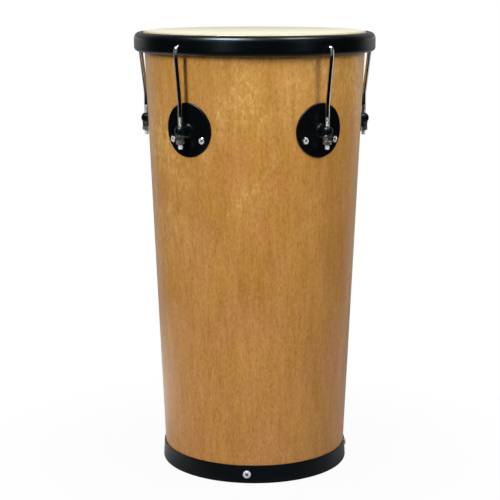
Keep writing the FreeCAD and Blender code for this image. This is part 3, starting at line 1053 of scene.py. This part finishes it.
studio = {
    "floorRadius": 0.95,
    "floorColumns": 96,
    "floorColour": (0.34, 0.34, 0.34, 1),
    "floorAheadInGloss": 0.10,
    "floorAcrossInGloss": [(0.25, 1.00), (0.75, 0.40)],
    "floorDepthPerMetre": 2.0,
    "floorBehindBetween": (0.2, 0.8),
    "floorFarFrom": 0.42,
    "floorWhite": [(0.14, 0.96), (0.50, 1.00)],
    "ambient": [(0.50, 0.06), (0.85, 0.50)],
    "ceiling": 0.90,
    "ceilingBetween": (0.45, 0.80),
    "frontGlow": 0.003,
    "behindBetween": (0.74, 0.88),
    "backGlow": 0.36,
    "backHorizon": 1.2,
    "horizonBand": (0.490, 0.500, 0.519, 0.525),
    # Lamps: azimuth, elevation, distance, power, and size across and up
    "softbox": [(-34.0, 27.0, 2.4, 42.0, (0.28, 0.98)), (53.0, 30.0, 1.2, 7.0, (0.36, 0.50))],
    "glossCard": [(-36.0, 61.0, 1.7, 33.0, (0.58, 0.54)), (68.0, 66.0, 1.7, 8.6, (0.50, 0.36)),
                  (-27.0, 19.0, 1.7, 1.25, (0.30, 1.02)), (44.0, 19.0, 1.7, 0.60, (0.30, 1.02))],
    "rodCard": [(-96.0, 4.0, 1.7, 0.9, (0.55, 1.10)), (96.0, 4.0, 1.7, 2.6, (0.55, 1.10))],
    "aim": (0.0, 0.0, 0.40),
}


# Direction from the drum for an azimuth and elevation in degrees
def direction(azimuth, elevation):
    turn, rise = math.radians(azimuth), math.radians(elevation)
    return np.array([math.sin(turn) * math.cos(rise), -math.cos(turn) * math.cos(rise), math.sin(rise)])


def grey(value):
    return (value, value, value)


# Grey at chosen places between 0 and 1
def greyRamp(tree, factor, stops, interpolation="LINEAR"):
    return colourRamp(tree, factor, [(place, grey(value)) for place, value in stops], interpolation)


# White behind the drum for the camera and, dimmer, for gloss; nearly dark in front for gloss; an
# even glow, brighter behind and above, for everything else. Depth and height run from 0 to 1
def makeWorld():
    world = bpy.data.worlds.new("studio")
    bpy.context.scene.world = world
    world.use_nodes = True
    tree = world.node_tree
    background = tree.nodes["Background"]
    rays = addNode(tree, "ShaderNodeLightPath").outputs
    heading = addNode(tree, "ShaderNodeTexCoord").outputs["Generated"]
    parts = addNode(tree, "ShaderNodeSeparateXYZ", {"Vector": heading}).outputs
    depth = mathNode(tree, "MULTIPLY_ADD", parts["Y"], 0.5, 0.5)
    height = mathNode(tree, "MULTIPLY_ADD", parts["Z"], 0.5, 0.5)
    glow, horizon = studio["backGlow"], studio["backHorizon"]
    back = greyRamp(tree, height, zip(studio["horizonBand"], (glow, horizon, horizon, glow)))
    behind = rampBetween(tree, depth, *studio["behindBetween"])
    gloss = mixColours(tree, behind, grey(studio["frontGlow"]) + (1,), back)
    shiny = mathNode(tree, "MAXIMUM", rays["Is Glossy Ray"], rays["Is Transmission Ray"])
    around = greyRamp(tree, depth, studio["ambient"])
    overhead = rampBetween(tree, parts["Z"], *studio["ceilingBetween"])
    even = mixColours(tree, overhead, around, grey(studio["ceiling"]) + (1,))
    light = mixColours(tree, shiny, even, gloss)
    light = mixColours(tree, rays["Is Camera Ray"], light, (1, 1, 1, 1))
    tree.links.new(light, background.inputs["Color"])
    background.inputs["Strength"].default_value = 1.0


# Floor disc. It takes shadow near the drum, and for the camera it fades to plain white further out.
# Gloss sees it nearly dark in front, and behind bright, more so to the left, with the back's glow at
# its rim
def makeFloor():
    mesh = bpy.data.meshes.new("studioFloor")
    turn = turnsRound(studio["floorColumns"])[0]
    rim = np.stack([np.cos(turn), np.sin(turn), 0 * turn], axis=1) * studio["floorRadius"]
    mesh.from_pydata(rim.tolist(), [], [list(range(len(rim)))])
    material, tree, shader = newMaterial("paleFloor", {"Roughness": 0.9, "Specular IOR Level": 0.1})
    rays = addNode(tree, "ShaderNodeLightPath").outputs
    place = objectPlace(tree)
    parts = addNode(tree, "ShaderNodeSeparateXYZ", {"Vector": place}).outputs
    reach = addNode(tree, "ShaderNodeVectorMath", {0: place}, operation="LENGTH").outputs["Value"]
    sides = greyRamp(tree, mathNode(tree, "ADD", parts["X"], 0.5), studio["floorAcrossInGloss"])
    far = rampBetween(tree, reach, studio["floorFarFrom"], studio["floorRadius"])
    sides = mixColours(tree, far, sides, grey(studio["backGlow"]) + (1,))
    depth = mathNode(tree, "MULTIPLY_ADD", parts["Y"], studio["floorDepthPerMetre"], 0.5)
    behind = rampBetween(tree, depth, *studio["floorBehindBetween"])
    inGloss = mixColours(tree, behind, grey(studio["floorAheadInGloss"]) + (1,), sides)
    shade = mixColours(tree, rays["Is Glossy Ray"], studio["floorColour"], inGloss)
    tree.links.new(shade, shader.inputs["Base Color"])
    fade = greyRamp(tree, reach, studio["floorWhite"], "EASE")
    white = addNode(tree, "ShaderNodeEmission", {"Color": (1, 1, 1, 1), "Strength": 1.0})
    mix = addNode(tree, "ShaderNodeMixShader", {
        0: mathNode(tree, "MULTIPLY", fade, rays["Is Camera Ray"]),
        1: shader.outputs[0], 2: white.outputs[0]})
    tree.links.new(mix.outputs[0], tree.nodes["Material Output"].inputs["Surface"])
    mesh.materials.append(material)
    addObject("studioFloor", mesh)


def lookAlong(heading):
    return Vector(heading).to_track_quat("-Z", "Y")


# One rectangular lamp that looks at the drum from a direction
def makeLamp(name, azimuth, elevation, distance, power, size):
    lamp = bpy.data.lights.new(name, "AREA")
    lamp.shape = "RECTANGLE"
    lamp.energy = power
    lamp.size, lamp.size_y = size
    holder = addObject(name, lamp)
    towards = direction(azimuth, elevation)
    holder.location = np.array(studio["aim"]) + towards * distance
    holder.rotation_mode = "QUATERNION"
    holder.rotation_quaternion = lookAlong(-towards)
    holder.visible_camera = False
    return holder


def makeLamps(kind):
    return [makeLamp("%s%d" % (kind, number), *values) for number, values in enumerate(studio[kind], start=1)]


# A tall softbox on each side in front, which gloss doesn't see; cards that only gloss sees, two
# overhead and two tall ones in front; and a tall card on each side that only the hooks see
def makeLights():
    for softbox in makeLamps("softbox"):
        softbox.visible_glossy = False
    for card in makeLamps("glossCard"):
        card.visible_diffuse = False
    hooks = bpy.data.collections.new("hooks")
    for number in range(1, lugCount + 1):
        hooks.objects.link(bpy.data.objects["hook%d" % number])
    for card in makeLamps("rodCard"):
        card.light_linking.receiver_collection = hooks


view = {
    "distance": 1.9667,
    "height": 0.6724,
    "azimuth": 0.5,
    "pan": 0.186,
    "down": 10.83,
    "focalPixels": 1433.0,
    "imagePixels": 500.0,
    "sensor": 36.0,
}


def makeCamera():
    camera = bpy.data.cameras.new("camera")
    camera.sensor_width = view["sensor"]
    camera.lens = view["focalPixels"] / view["imagePixels"] * view["sensor"]
    holder = addObject("camera", camera)
    turn = math.radians(view["azimuth"])
    holder.location = (view["distance"] * math.sin(turn), -view["distance"] * math.cos(turn), view["height"])
    holder.rotation_mode = "QUATERNION"
    holder.rotation_quaternion = lookAlong(-direction(view["azimuth"] + view["pan"], view["down"]))
    bpy.context.scene.camera = holder


makeWorld()
makeFloor()
makeLights()
makeCamera()
bpy.context.scene.view_settings.view_transform = "Standard"
print("studio ready")
